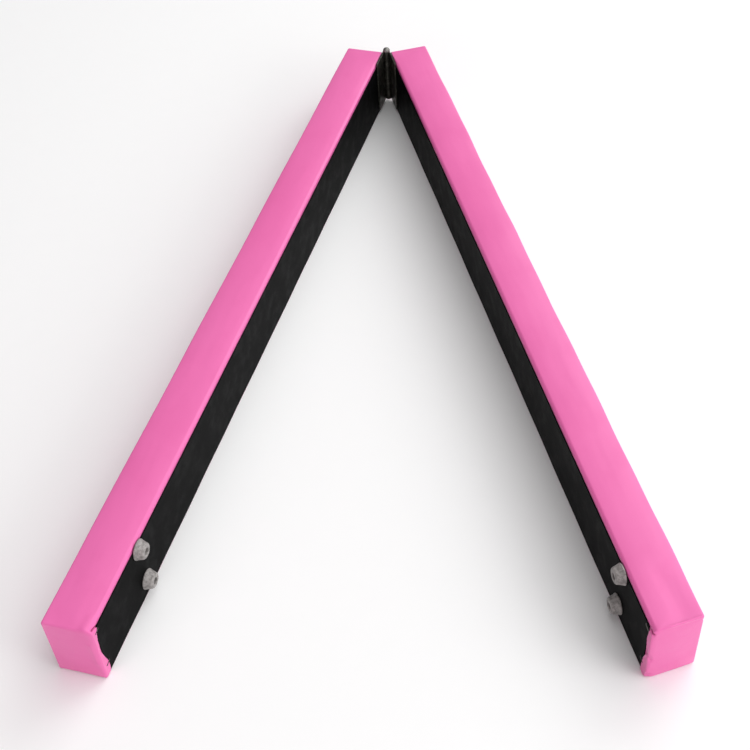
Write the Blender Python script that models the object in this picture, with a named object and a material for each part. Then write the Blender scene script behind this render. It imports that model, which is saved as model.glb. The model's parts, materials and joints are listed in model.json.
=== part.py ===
"""Folding floor balance beam, partly folded and lying on one long narrow side.

Two padded halves are joined at their undersides by a butt hinge whose pin stands
along +Z. The closed end of the V is at +Y and the V opens towards -Y. The origin
is on the floor, at the centre of the part's outline seen from above.

Each half is modelled in its own frame, whose origin is on the hinge axis:
  s   runs along the half, from the hinge axis to the far end,
  n   runs through the half's depth, from the hinge axis to the walking surface,
  z   runs across the half's width, up from the floor.
A turned piece is modelled about +Z, with its zero on the underside of the half
and +Z pointing away from it, and then placed on the half.
"""

import math

import bmesh
import bpy
from mathutils import Matrix, Vector

# The beam, in metres
HALF_LENGTH = 1.200
BEAM_WIDTH = 0.100
BEAM_DEPTH = 0.063
END_GAP = 0.001  # from the hinge axis's plane to the near end of a half
REST_FOLD = math.radians(30.0)  # between the two undersides
CLEARANCE = 0.0003  # between pieces that touch

# The padding
COVER_THICKNESS = 0.0012
COVER_ROUNDING = 0.005
UNDER_ROUNDING = 0.0025
RETURN_WIDTH = 0.020  # how far the cover folds in over the core's underside
FLAP_WIDTH = 0.013  # the part of the fold left in view at the far end
SHEET_THICKNESS = 0.0015
SHEET_INSET = 0.0015
EDGE_FOAM = 0.005
CORE_DEPTH = 0.040

# The hinge
BARREL_RADIUS = 0.006
LEAF_THICKNESS = 0.0025
LEAF_REACH = 0.042
LEAF_CORNER = 0.003
HINGE_HEIGHT = 0.095
HINGE_LIFT = 0.006
KNUCKLES = 5
KNUCKLE_GAP = 0.0004
KNUCKLE_CLEARANCE = 0.0005
PIN_RADIUS = 0.0032
PIN_HEAD_RADIUS = 0.0060
PIN_HEAD_HEIGHT = 0.006
PIN_HEAD_SKIRT = 0.15  # the straight share of the head's height, below its dome
PIN_TAIL = 0.001
PIN_CHAMFER = 0.0005

# Screws and washers
SHANK_RADIUS = 0.002
SCREW_TIP = 0.004
SCREW_HOLE_RADIUS = SHANK_RADIUS + CLEARANCE
HOLE_SPARE = 0.001  # how much deeper a hole is than its screw
LEAF_SCREW_LENGTH = 0.022
LEAF_HEAD_RADIUS = 0.004
LEAF_HEAD_HEIGHT = 0.002
LEAF_HEAD_SUNK = 0.0001
COUNTERSINK_RADIUS = LEAF_HEAD_RADIUS + 0.0005
LEAF_SCREWS = ((0.031, 0.010), (0.017, 0.034), (0.017, 0.060), (0.031, 0.084))  # s, height on the leaf
FOOT_SCREW_LENGTH = 0.030
PAN_RADIUS = 0.0036
PAN_HEIGHT = 0.0024
PAN_SHAPE = ((1.0, 0.5), (0.8, 0.85), (0.5, 1.0))  # shares of the head's radius and height
RECESS_LENGTH = 0.0042
RECESS_WIDTH = 0.0009
RECESS_DEPTH = 0.0012
WASHER_RADIUS = 0.0042
WASHER_THICKNESS = 0.001

# The feet: (distance from the far end, height of the lower foot, height of the upper foot)
FOOT_PLACES = {"left": (0.130, 0.024, 0.086), "right": (0.087, 0.023, 0.085)}
FOOT_HEIGHT = 0.012
FOOT_BASE_RADIUS = 0.0136
FOOT_TOP_RADIUS = 0.0108
FOOT_EDGE = 0.0010
FOOT_WELL_RADIUS = 0.0046
FOOT_FLOOR = 0.005  # rubber left under the washer

# Staples in the far-end flap
STAPLE_HEIGHTS = {"lower": 0.020, "upper": 0.088}
STAPLE_CROWN = 0.010
STAPLE_LEG = 0.009
STAPLE_WIRE = 0.0007
STAPLE_BREADTH = 0.0010
STAPLE_INSET = 0.0025  # from the flap's edge

ROUND_STEPS = 24
SMALL_STEPS = 16
BEVEL_STEPS = 3
DOME_STEPS = 4
SAME_PLACE = 1e-6  # points closer than this are one point

# Levels worked out from the sizes above
UNDERSIDE = BARREL_RADIUS + CLEARANCE
TOP = UNDERSIDE + BEAM_DEPTH
NEAR = END_GAP
FAR = END_GAP + HALF_LENGTH
FLAP_EDGE = FAR - FLAP_WIDTH
RETURN_UNDER = UNDERSIDE + SHEET_THICKNESS + CLEARANCE
RETURN_OVER = RETURN_UNDER + COVER_THICKNESS
CORE_UNDER = RETURN_OVER + CLEARANCE
CORE_OVER = CORE_UNDER + CORE_DEPTH
PAD_INSET = COVER_THICKNESS + CLEARANCE
PAD_ROUNDING = COVER_ROUNDING - PAD_INSET
CORE_INSET = PAD_INSET + EDGE_FOAM + CLEARANCE
WASHER_LEVEL = CLEARANCE + FOOT_FLOOR + CLEARANCE
PAN_LEVEL = WASHER_LEVEL + WASHER_THICKNESS + CLEARANCE
LEAF_SCREW_LEVEL = CLEARANCE + LEAF_THICKNESS - LEAF_HEAD_SUNK
STAPLE_S = FLAP_EDGE + STAPLE_INSET
HALF_FOLD = REST_FOLD / 2
CORNER_LOSS = math.sin(HALF_FOLD) + math.cos(HALF_FOLD) - 1  # what rounding takes off a corner's reach
CLOSED_END_Y = TOP * math.sin(HALF_FOLD) - NEAR * math.cos(HALF_FOLD) - COVER_ROUNDING * CORNER_LOSS
OPEN_END_Y = UNDERSIDE * math.sin(HALF_FOLD) - FAR * math.cos(HALF_FOLD) + UNDER_ROUNDING * CORNER_LOSS
HINGE_Y = -(CLOSED_END_Y + OPEN_END_Y) / 2
OVERCUT = 0.004  # how far a cutter runs past the face that it opens


def clear_scene():
    """Removes every object that is already in the scene."""
    for old in list(bpy.data.objects):
        bpy.data.objects.remove(old)


def make_material(name, colour, roughness, metallic=0.0):
    """A Principled material with a linear colour."""
    material = bpy.data.materials.new(name)
    material.use_nodes = True
    shader = material.node_tree.nodes["Principled BSDF"]
    shader.inputs["Base Color"].default_value = (*colour, 1.0)
    shader.inputs["Roughness"].default_value = roughness
    shader.inputs["Metallic"].default_value = metallic
    return material


def add_box(bm, low, high):
    """Adds a box between two corners."""
    size = Vector(high) - Vector(low)
    middle = (Vector(high) + Vector(low)) / 2
    placing = Matrix.Translation(middle) @ Matrix.Diagonal((*size, 1.0))
    bmesh.ops.create_cube(bm, size=1.0, matrix=placing)


def add_hole(bm, s, z, profile):
    """Adds a round cutter along n, turned from a profile of (radius, n) points."""
    outline = [(0.0, profile[0][1]), *profile, (0.0, profile[-1][1])]
    corners = [bm.verts.new((s + radius, n, z)) for radius, n in outline]
    edges = [bm.edges.new(pair) for pair in zip(corners, corners[1:])]
    bmesh.ops.spin(
        bm, geom=corners + edges, cent=(s, 0, z), axis=(0, 1, 0), angle=math.tau, steps=SMALL_STEPS, use_merge=True
    )
    bmesh.ops.remove_doubles(bm, verts=bm.verts, dist=SAME_PLACE)


def round_edges(bm, radius, chosen):
    """Rounds the edges whose two ends both pass the test."""
    edges = [edge for edge in bm.edges if chosen(edge.verts[0].co, edge.verts[1].co)]
    bmesh.ops.bevel(
        bm, geom=edges, offset=radius, offset_type="OFFSET", segments=BEVEL_STEPS, profile=0.5, affect="EDGES"
    )


def finish_mesh(bm, name, crease=30.0):
    """Turns a bmesh into a mesh that faces out and is smooth but for its sharp edges."""
    bmesh.ops.recalc_face_normals(bm, faces=bm.faces)
    mesh = bpy.data.meshes.new(name)
    bm.to_mesh(mesh)
    bm.free()
    mesh.shade_smooth()
    mesh.set_sharp_from_angle(angle=math.radians(crease))
    return mesh


def carve(mesh, cutter_bm):
    """Cuts a set of separate cutters out of a mesh and returns the carved mesh."""
    body = bpy.data.objects.new(mesh.name, mesh)
    cutter = bpy.data.objects.new("cutter", finish_mesh(cutter_bm, "cutter"))
    for item in (body, cutter):
        bpy.context.scene.collection.objects.link(item)
    cut = body.modifiers.new("cut", "BOOLEAN")
    cut.operation = "DIFFERENCE"
    cut.solver = "EXACT"
    cut.object = cutter
    evaluated = body.evaluated_get(bpy.context.evaluated_depsgraph_get())
    carved = bpy.data.meshes.new_from_object(evaluated)
    carved.name = mesh.name
    bpy.data.objects.remove(body)
    bpy.data.objects.remove(cutter)
    return carved


def turned(name, profile, steps, closed=False):
    """Turns a profile of (radius, height) points about the Z axis."""
    bm = bmesh.new()
    corners = [bm.verts.new((radius, 0.0, height)) for radius, height in profile]
    edges = [bm.edges.new(pair) for pair in zip(corners, corners[1:])]
    if closed:
        edges.append(bm.edges.new((corners[-1], corners[0])))
    bmesh.ops.spin(
        bm, geom=corners + edges, cent=(0, 0, 0), axis=(0, 0, 1), angle=math.tau, steps=steps, use_merge=True
    )
    bmesh.ops.remove_doubles(bm, verts=bm.verts, dist=SAME_PLACE)
    return finish_mesh(bm, name)


class Half:
    """One half of the beam: its name, its side of the V and its frame on the hinge axis."""

    def __init__(self, name, side):
        self.name = name
        self.side = side
        self.frame = bpy.data.objects.new(f"{name}_half_frame", None)
        self.frame.location = (0.0, HINGE_Y, 0.0)
        self.frame.rotation_euler = (0.0, 0.0, side * HALF_FOLD - math.pi / 2)
        bpy.context.scene.collection.objects.link(self.frame)

    def add(self, piece, mesh, material):
        """Adds a piece that is modelled in (s, n, z), mirrored on the left half."""
        if self.side < 0:
            mesh.transform(Matrix.Scale(-1.0, 4, (0, 1, 0)))
            mesh.flip_normals()
        return self.link(piece, mesh, material)

    def add_turned(self, piece, mesh, material, s, z):
        """Adds a turned piece, with its zero on the underside and pointing away from it."""
        item = self.link(piece, mesh, material)
        item.location = (s, self.side * UNDERSIDE, z)
        item.rotation_euler = (self.side * math.pi / 2, 0.0, 0.0)
        return item

    def link(self, piece, mesh, material):
        """Makes the piece's object under this half's frame."""
        item = bpy.data.objects.new(f"{self.name}_{piece}", mesh)
        bpy.context.scene.collection.objects.link(item)
        item.parent = self.frame
        if not mesh.materials:
            mesh.materials.append(material)
        return item

    def foot_spots(self):
        """The name, s and z of the lower and the upper foot."""
        from_end, lower, upper = FOOT_PLACES[self.name]
        return (("lower", FAR - from_end, lower), ("upper", FAR - from_end, upper))


def screw_cutters(half, n_low):
    """Round cutters for every screw of a half, from n_low to just past the screws' tips."""
    bm = bmesh.new()
    leaf_tip = UNDERSIDE - LEAF_SCREW_LEVEL + LEAF_SCREW_LENGTH + HOLE_SPARE
    foot_tip = UNDERSIDE - PAN_LEVEL + FOOT_SCREW_LENGTH + HOLE_SPARE
    for s, height in LEAF_SCREWS:
        add_hole(bm, s, HINGE_LIFT + height, [(SCREW_HOLE_RADIUS, n_low), (SCREW_HOLE_RADIUS, leaf_tip)])
    for _, s, z in half.foot_spots():
        add_hole(bm, s, z, [(SCREW_HOLE_RADIUS, n_low), (SCREW_HOLE_RADIUS, foot_tip)])
    return bm


def add_staple_slots(bm):
    """Adds a slot cutter for each leg of each staple."""
    across = (STAPLE_BREADTH / 2 + CLEARANCE) * Vector((1, 0, 0))
    for height in STAPLE_HEIGHTS.values():
        for end in (-1, 1):
            z = height + end * (STAPLE_CROWN - STAPLE_WIRE) / 2
            reach = STAPLE_WIRE / 2 + CLEARANCE
            low = Vector((STAPLE_S, 0.0, z - reach)) - across
            high = Vector((STAPLE_S, UNDERSIDE + STAPLE_LEG + HOLE_SPARE, z + reach)) + across
            add_box(bm, low, high)


def make_core(half, material):
    """The wood core, with blind holes for the screws and slots for the staples."""
    bm = bmesh.new()
    low = (NEAR + CORE_INSET, CORE_UNDER, CORE_INSET)
    high = (FAR - CORE_INSET, CORE_OVER, BEAM_WIDTH - CORE_INSET)
    add_box(bm, low, high)
    cutters = screw_cutters(half, CORE_UNDER - OVERCUT)
    add_staple_slots(cutters)
    half.add("wood_core", carve(finish_mesh(bm, "wood_core"), cutters), material)


def make_top_foam(half, material):
    """The foam slab over the core and the edge strips, rounded like the cover."""
    bm = bmesh.new()
    floor = CORE_OVER + CLEARANCE
    low = (NEAR + PAD_INSET, floor, PAD_INSET)
    high = (FAR - PAD_INSET, TOP - PAD_INSET, BEAM_WIDTH - PAD_INSET)
    add_box(bm, low, high)
    round_edges(bm, PAD_ROUNDING, lambda a, b: max(a.y, b.y) > floor + OVERCUT)
    half.add("top_foam", finish_mesh(bm, "top_foam"), material)


def make_side_foams(half, material):
    """The two long strips of foam between the core and the cover."""
    for name, z in (("lower", PAD_INSET), ("upper", BEAM_WIDTH - PAD_INSET - EDGE_FOAM)):
        bm = bmesh.new()
        low = (NEAR + CORE_INSET, CORE_UNDER, z)
        high = (FAR - CORE_INSET, CORE_OVER, z + EDGE_FOAM)
        add_box(bm, low, high)
        half.add(f"{name}_side_foam", finish_mesh(bm, "side_foam"), material)


def make_end_foams(half, material):
    """The short strips at the ends, rounded where they fill the cover's corners."""
    spots = (("hinge", NEAR + PAD_INSET, 1), ("far", FAR - PAD_INSET, -1))
    for name, outer, inward in spots:
        bm = bmesh.new()
        span = sorted((outer, outer + inward * EDGE_FOAM))
        low = (span[0], CORE_UNDER, PAD_INSET)
        high = (span[1], CORE_OVER, BEAM_WIDTH - PAD_INSET)
        add_box(bm, low, high)
        round_edges(
            bm,
            PAD_ROUNDING,
            lambda a, b: abs(a.x - outer) + abs(b.x - outer) < CLEARANCE and abs(a.y - b.y) > EDGE_FOAM * 2
            and abs(a.z - b.z) < CLEARANCE,
        )
        half.add(f"{name}_end_foam", finish_mesh(bm, "end_foam"), material)


def make_cover(half, material):
    """The vinyl skin: top, sides and ends, folded in at the underside."""
    bm = bmesh.new()
    add_box(bm, (NEAR, UNDERSIDE, 0.0), (FAR, TOP, BEAM_WIDTH))
    over = UNDERSIDE + OVERCUT
    round_edges(bm, COVER_ROUNDING, lambda a, b: max(a.y, b.y) > over)
    round_edges(bm, UNDER_ROUNDING, lambda a, b: max(a.y, b.y) < UNDERSIDE + CLEARANCE)
    skin = finish_mesh(bm, "cover")
    wall = COVER_THICKNESS
    cavity = bmesh.new()
    add_box(cavity, (NEAR + wall, RETURN_OVER, wall), (FAR - wall, TOP - wall, BEAM_WIDTH - wall))
    round_edges(cavity, COVER_ROUNDING - wall, lambda a, b: max(a.y, b.y) > RETURN_OVER + OVERCUT)
    skin = carve(skin, cavity)
    openings = bmesh.new()
    add_box(openings, (-OVERCUT, 0.0, -OVERCUT), (FLAP_EDGE, RETURN_UNDER, BEAM_WIDTH + OVERCUT))
    skin = carve(skin, openings)
    mouth = bmesh.new()
    low = (NEAR + RETURN_WIDTH, 0.0, RETURN_WIDTH)
    high = (FAR - RETURN_WIDTH, RETURN_OVER + OVERCUT, BEAM_WIDTH - RETURN_WIDTH)
    add_box(mouth, low, high)
    skin = carve(skin, mouth)
    cutters = screw_cutters(half, 0.0)
    add_staple_slots(cutters)
    half.add("cover", carve(skin, cutters), material)


def make_base_sheet(half, material):
    """The black sheet over the underside, up to the edge of the far-end flap."""
    bm = bmesh.new()
    low = (NEAR + SHEET_INSET, UNDERSIDE, SHEET_INSET)
    high = (FLAP_EDGE - CLEARANCE, UNDERSIDE + SHEET_THICKNESS, BEAM_WIDTH - SHEET_INSET)
    add_box(bm, low, high)
    half.add("base_sheet", carve(finish_mesh(bm, "base_sheet"), screw_cutters(half, 0.0)), material)


def foot_mesh():
    """A tapered rubber foot with a well for its screw."""
    base = CLEARANCE
    face = base + FOOT_HEIGHT
    profile = [
        (SCREW_HOLE_RADIUS, base),
        (FOOT_BASE_RADIUS - FOOT_EDGE / 2, base),
        (FOOT_BASE_RADIUS, base + FOOT_EDGE / 2),
    ]
    for step in range(BEVEL_STEPS + 1):
        turn = step / BEVEL_STEPS * math.pi / 2
        radius = FOOT_TOP_RADIUS - FOOT_EDGE * (1 - math.cos(turn))
        profile.append((radius, face - FOOT_EDGE * (1 - math.sin(turn))))
    profile += [
        (FOOT_WELL_RADIUS + FOOT_EDGE / 2, face),
        (FOOT_WELL_RADIUS, face - FOOT_EDGE / 2),
        (FOOT_WELL_RADIUS, base + FOOT_FLOOR),
        (SCREW_HOLE_RADIUS, base + FOOT_FLOOR),
    ]
    return turned("foot", profile, ROUND_STEPS, closed=True)


def washer_mesh():
    """A flat steel washer."""
    under = WASHER_LEVEL
    over = WASHER_LEVEL + WASHER_THICKNESS
    profile = [(SCREW_HOLE_RADIUS, under), (WASHER_RADIUS, under), (WASHER_RADIUS, over), (SCREW_HOLE_RADIUS, over)]
    return turned("washer", profile, SMALL_STEPS, closed=True)


def cross_recess(level):
    """A cutter for the cross in a screw head whose face is at the given level."""
    bm = bmesh.new()
    long = RECESS_LENGTH / 2
    narrow = RECESS_WIDTH / 2
    corners = [(long, narrow), (narrow, narrow), (narrow, long)]
    quarters = [Matrix.Rotation(quarter * math.pi / 2, 2) for quarter in range(4)]
    outline = [turn @ Vector(corner) for turn in quarters for corner in corners]
    lower = [bm.verts.new((x, y, level - RECESS_DEPTH)) for x, y in outline]
    face = bm.faces.new(lower)
    raised = bmesh.ops.extrude_face_region(bm, geom=[face])["geom"]
    shift = Vector((0, 0, RECESS_DEPTH + OVERCUT))
    bmesh.ops.translate(bm, verts=[v for v in raised if isinstance(v, bmesh.types.BMVert)], vec=shift)
    return bm


def leaf_screw_mesh():
    """A countersunk screw whose head lies just under the leaf's face."""
    face = LEAF_SCREW_LEVEL
    neck = face - LEAF_HEAD_HEIGHT
    tip = face - LEAF_SCREW_LENGTH
    profile = [
        (0.0, tip),
        (SHANK_RADIUS, tip + SCREW_TIP),
        (SHANK_RADIUS, neck),
        (LEAF_HEAD_RADIUS, face),
        (0.0, face),
    ]
    return carve(turned("leaf_screw", profile, SMALL_STEPS), cross_recess(face))


def foot_screw_mesh():
    """A pan-head screw that stands on the washer in a foot's well."""
    tip = PAN_LEVEL - FOOT_SCREW_LENGTH
    face = PAN_LEVEL + PAN_HEIGHT
    profile = [
        (0.0, tip),
        (SHANK_RADIUS, tip + SCREW_TIP),
        (SHANK_RADIUS, PAN_LEVEL),
        (PAN_RADIUS, PAN_LEVEL),
        *[(PAN_RADIUS * radius, PAN_LEVEL + PAN_HEIGHT * height) for radius, height in PAN_SHAPE],
        (0.0, face),
    ]
    return carve(turned("foot_screw", profile, SMALL_STEPS), cross_recess(face))


def make_feet(half, meshes, materials):
    """The two feet of a half, with their washers and screws."""
    for name, s, z in half.foot_spots():
        half.add_turned(f"{name}_foot", meshes["foot"], materials["foot"], s, z)
        half.add_turned(f"{name}_foot_washer", meshes["washer"], materials["zinc"], s, z)
        half.add_turned(f"{name}_foot_screw", meshes["foot_screw"], materials["zinc"], s, z)


def make_staples(half, material):
    """The staples across the far-end flap: a crown and two legs in one bent wire."""
    for name, height in STAPLE_HEIGHTS.items():
        bm = bmesh.new()
        crown = UNDERSIDE - CLEARANCE - STAPLE_WIRE
        inner = crown + STAPLE_WIRE
        tip = UNDERSIDE + STAPLE_LEG
        reach = STAPLE_CROWN / 2
        leg = reach - STAPLE_WIRE
        outline = [
            (crown, -reach), (tip, -reach), (tip, -leg), (inner, -leg),
            (inner, leg), (tip, leg), (tip, reach), (crown, reach),
        ]
        start = STAPLE_S - STAPLE_BREADTH / 2
        corners = [bm.verts.new((start, n, height + z)) for n, z in outline]
        raised = bmesh.ops.extrude_face_region(bm, geom=[bm.faces.new(corners)])["geom"]
        moved = [v for v in raised if isinstance(v, bmesh.types.BMVert)]
        bmesh.ops.translate(bm, verts=moved, vec=Vector((STAPLE_BREADTH, 0, 0)))
        half.add(f"{name}_staple", finish_mesh(bm, "staple"), material)


def leaf_blank():
    """A flat leaf whose inner edge is rolled into a barrel along its whole height."""
    bm = bmesh.new()
    inner_face = BARREL_RADIUS - LEAF_THICKNESS
    start = math.asin(inner_face / BARREL_RADIUS)
    sweep = math.pi * 1.5 + start
    outline = [(LEAF_REACH, BARREL_RADIUS), (LEAF_REACH, inner_face)]
    for step in range(ROUND_STEPS + 1):
        turn = start - sweep * step / ROUND_STEPS
        outline.append((BARREL_RADIUS * math.cos(turn), BARREL_RADIUS * math.sin(turn)))
    corners = [bm.verts.new((s, n, HINGE_LIFT)) for s, n in outline]
    raised = bmesh.ops.extrude_face_region(bm, geom=[bm.faces.new(corners)])["geom"]
    moved = [v for v in raised if isinstance(v, bmesh.types.BMVert)]
    bmesh.ops.translate(bm, verts=moved, vec=Vector((0, 0, HINGE_HEIGHT)))
    round_edges(
        bm,
        LEAF_CORNER,
        lambda a, b: min(a.x, b.x) > LEAF_REACH - CLEARANCE and abs(a.z - b.z) < CLEARANCE,
    )
    return finish_mesh(bm, "leaf")


def make_leaf(half, material):
    """A leaf with its own knuckles, the bore for the pin and the countersunk holes."""
    cutters = bmesh.new()
    pitch = HINGE_HEIGHT / KNUCKLES
    others = range(1, KNUCKLES, 2) if half.side < 0 else range(0, KNUCKLES, 2)
    reach = BARREL_RADIUS + KNUCKLE_CLEARANCE
    for knuckle in others:
        low = HINGE_LIFT + knuckle * pitch - KNUCKLE_GAP / 2
        high = HINGE_LIFT + (knuckle + 1) * pitch + KNUCKLE_GAP / 2
        add_box(cutters, (-reach, -reach, low), (reach, reach, high))
    inner_face = BARREL_RADIUS - LEAF_THICKNESS
    throat = COUNTERSINK_RADIUS - LEAF_HEAD_HEIGHT
    countersunk = [
        (COUNTERSINK_RADIUS, inner_face - OVERCUT),
        (COUNTERSINK_RADIUS, inner_face),
        (throat, inner_face + LEAF_HEAD_HEIGHT),
        (throat, BARREL_RADIUS + OVERCUT),
    ]
    for s, height in LEAF_SCREWS:
        add_hole(cutters, s, HINGE_LIFT + height, countersunk)
    bore = bmesh.new()
    placing = Matrix.Translation((0, 0, HINGE_LIFT + HINGE_HEIGHT / 2))
    bmesh.ops.create_cone(
        bore,
        cap_ends=True,
        segments=ROUND_STEPS,
        radius1=inner_face,
        radius2=inner_face,
        depth=HINGE_HEIGHT + 2 * OVERCUT,
        matrix=placing,
    )
    half.add("hinge_leaf", carve(carve(leaf_blank(), cutters), bore), material)


def make_leaf_screws(half, mesh, material):
    """The four countersunk screws that hold a leaf to the core."""
    for number, (s, height) in enumerate(LEAF_SCREWS, start=1):
        half.add_turned(f"leaf_screw_{number}", mesh, material, s, HINGE_LIFT + height)


def make_pin(material):
    """The hinge pin: a plain rod with a domed head on top."""
    foot = HINGE_LIFT - PIN_TAIL
    seat = HINGE_LIFT + HINGE_HEIGHT + CLEARANCE
    profile = [
        (0.0, foot),
        (PIN_RADIUS - PIN_CHAMFER, foot),
        (PIN_RADIUS, foot + PIN_CHAMFER),
        (PIN_RADIUS, seat),
        (PIN_HEAD_RADIUS, seat),
    ]
    for step in range(DOME_STEPS):
        turn = step / DOME_STEPS * math.pi / 2
        height = seat + PIN_HEAD_HEIGHT * (PIN_HEAD_SKIRT + (1 - PIN_HEAD_SKIRT) * math.sin(turn))
        profile.append((PIN_HEAD_RADIUS * math.cos(turn), height))
    profile.append((0.0, seat + PIN_HEAD_HEIGHT))
    pin = bpy.data.objects.new("hinge_pin", turned("hinge_pin", profile, ROUND_STEPS))
    pin.location = (0.0, HINGE_Y, 0.0)
    pin.data.materials.append(material)
    bpy.context.scene.collection.objects.link(pin)


def make_materials():
    """The part's materials, by their linear colours."""
    return {
        "vinyl": make_material("pink_vinyl", (0.871, 0.181, 0.456), 0.38),
        "sheet": make_material("black_sheet", (0.011, 0.011, 0.011), 0.6),
        "wood": make_material("pale_wood", (0.55, 0.37, 0.2), 0.65),
        "foam": make_material("pale_foam", (0.72, 0.69, 0.58), 0.9),
        "foot": make_material("pale_rubber", (0.42, 0.38, 0.38), 0.55),
        "leaf": make_material("dark_steel", (0.06, 0.058, 0.05), 0.42, 0.9),
        "pin": make_material("bright_steel", (0.5, 0.49, 0.47), 0.32, 1.0),
        "zinc": make_material("zinc_plate", (0.42, 0.41, 0.39), 0.35, 1.0),
    }


def make_half(name, side, meshes, materials):
    """Every piece of one half and its hinge leaf."""
    half = Half(name, side)
    make_core(half, materials["wood"])
    make_top_foam(half, materials["foam"])
    make_side_foams(half, materials["foam"])
    make_end_foams(half, materials["foam"])
    make_cover(half, materials["vinyl"])
    make_base_sheet(half, materials["sheet"])
    make_feet(half, meshes, materials)
    make_staples(half, materials["zinc"])
    make_leaf(half, materials["leaf"])
    make_leaf_screws(half, meshes["leaf_screw"], materials["leaf"])


def main():
    clear_scene()
    materials = make_materials()
    meshes = {
        "foot": foot_mesh(),
        "washer": washer_mesh(),
        "leaf_screw": leaf_screw_mesh(),
        "foot_screw": foot_screw_mesh(),
    }
    make_half("left", -1, meshes, materials)
    make_half("right", 1, meshes, materials)
    make_pin(materials["pin"])


main()
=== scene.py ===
# %% [markdown]
# # A folding floor balance beam
#
# The object is a padded training beam in two hinged halves. It lies on one long
# narrow side and is folded most of the way, so that the halves make a V. This
# lesson dresses the bare mechanical frame in the materials and soft shapes of the
# real thing: stretched vinyl over foam, a black non-slip underside, moulded rubber
# feet and a rolled steel hinge.
#
# The frame comes first. Nothing here moves or resizes it: every piece below takes
# its place and its size from the frame's own solids.

# %% Load the frame
import json
import math

import bmesh
import bpy
import numpy as np
from mathutils import Matrix, Vector


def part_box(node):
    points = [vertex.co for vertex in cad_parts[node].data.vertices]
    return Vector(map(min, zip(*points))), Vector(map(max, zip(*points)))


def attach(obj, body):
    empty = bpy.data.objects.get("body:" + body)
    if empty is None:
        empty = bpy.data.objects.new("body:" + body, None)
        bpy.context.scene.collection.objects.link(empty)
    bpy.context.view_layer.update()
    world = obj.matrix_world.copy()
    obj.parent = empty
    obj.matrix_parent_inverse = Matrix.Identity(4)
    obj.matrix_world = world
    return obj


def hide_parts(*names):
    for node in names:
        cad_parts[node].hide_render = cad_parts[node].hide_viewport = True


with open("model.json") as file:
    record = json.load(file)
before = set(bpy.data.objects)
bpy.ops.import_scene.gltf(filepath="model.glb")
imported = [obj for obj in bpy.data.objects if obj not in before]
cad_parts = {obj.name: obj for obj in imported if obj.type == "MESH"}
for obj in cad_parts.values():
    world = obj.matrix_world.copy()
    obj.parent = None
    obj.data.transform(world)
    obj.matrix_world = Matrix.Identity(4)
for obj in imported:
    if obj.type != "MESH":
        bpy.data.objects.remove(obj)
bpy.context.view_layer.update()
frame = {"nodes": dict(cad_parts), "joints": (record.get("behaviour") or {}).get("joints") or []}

# %% [markdown]
# ## A ruler for each half
#
# The two halves are mirror images that lean apart from the hinge pin, so sizes are
# awkward to write in room coordinates. A small frame for each half makes them
# simple: s runs along the half from the pin, n runs through its depth from the pin
# to the walking surface, and z is height. One matrix turns (s, n, z) into the
# room's (x, y, z). The joint itself says where the pin stands, and its lower limit
# says how far the beam is open, because it is shut at that limit.

# %% The half frames
fold = frame["joints"][0]
HALF_FOLD = math.radians(-fold["range_deg"][0]) / 2
PIN = Vector((fold["pos_m"][0], fold["pos_m"][1], 0.0))
HALVES = {"left": -1, "right": 1}


def half_matrix(half):
    """The matrix from a half's (s, n, z) to the room."""
    side = HALVES[half]
    along = Vector((side * math.sin(HALF_FOLD), -math.cos(HALF_FOLD), 0))
    through = Vector((side * math.cos(HALF_FOLD), math.sin(HALF_FOLD), 0))
    matrix = Matrix((along, through, Vector((0, 0, 1)))).transposed().to_4x4()
    matrix.translation = PIN
    return matrix


def in_half(half, points):
    """Room points as (s, n, z) of a half."""
    back = np.array(half_matrix(half).inverted())
    return np.asarray(points) @ back[:3, :3].T + back[:3, 3]


def extent(node):
    """The lowest and highest (s, n, z) of one of the frame's solids."""
    corners = [v.co for v in frame["nodes"][node].data.vertices]
    places = in_half(node.split("_")[0], corners)
    return places.min(0), places.max(0)


cover_low, cover_high = extent("left_cover")
sheet_high = extent("left_base_sheet")[1]
print("a half is", np.round(1000 * (cover_high - cover_low), 1), "mm along, through and up")

# %% [markdown]
# ## From numbers to a piece
#
# Most pieces here are worked out as arrays of points in a half's frame. One helper
# turns such an array into a finished object: it places the points in the room,
# makes every face point outwards, keeps the (s, n, z) of each point as an attribute
# so that a pattern can follow the half, and lets the piece ride on its body.

# %% The piece maker
def placed(name, data):
    """A new object in the scene, at the origin."""
    made = bpy.data.objects.new(name, data)
    bpy.context.scene.collection.objects.link(made)
    return made


def smoothed(mesh, crease=35.0):
    """The mesh shaded smooth, with its edges past an angle in degrees kept sharp."""
    mesh.shade_smooth()
    mesh.set_sharp_from_angle(angle=math.radians(crease))
    return mesh


def finish_piece(name, mesh, half, finish, nodes):
    """Makes the object for a mesh that is already in the room, and gives it to its half."""
    piece = placed(name, mesh)
    mesh.materials.clear()
    mesh.materials.append(finish)
    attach(piece, f"{half}_half")
    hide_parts(*nodes)
    print(f"{name}: {len(mesh.polygons)} faces")
    return piece


def mesh_in_room(name, half, points, faces, crease=40.0):
    """A smooth mesh from (s, n, z) points, facing outwards, with its places kept."""
    bm = bmesh.new()
    matrix = half_matrix(half)
    corners = [bm.verts.new(matrix @ Vector(point)) for point in points]
    for face in faces:
        bm.faces.new([corners[i] for i in face])
    bmesh.ops.recalc_face_normals(bm, faces=bm.faces)
    mesh = bpy.data.meshes.new(name)
    bm.to_mesh(mesh)
    bm.free()
    keep_places(mesh, half)
    return smoothed(mesh, crease)


def keep_places(mesh, half):
    """Stores each point's (s, n, z) on the mesh as the attribute half_place."""
    places = in_half(half, [v.co for v in mesh.vertices])
    store = mesh.attributes.new("half_place", "FLOAT_VECTOR", "POINT")
    store.data.foreach_set("vector", places.astype(np.float32).ravel())


print("pieces will ride on", [f"{half}_half" for half in HALVES])

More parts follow.
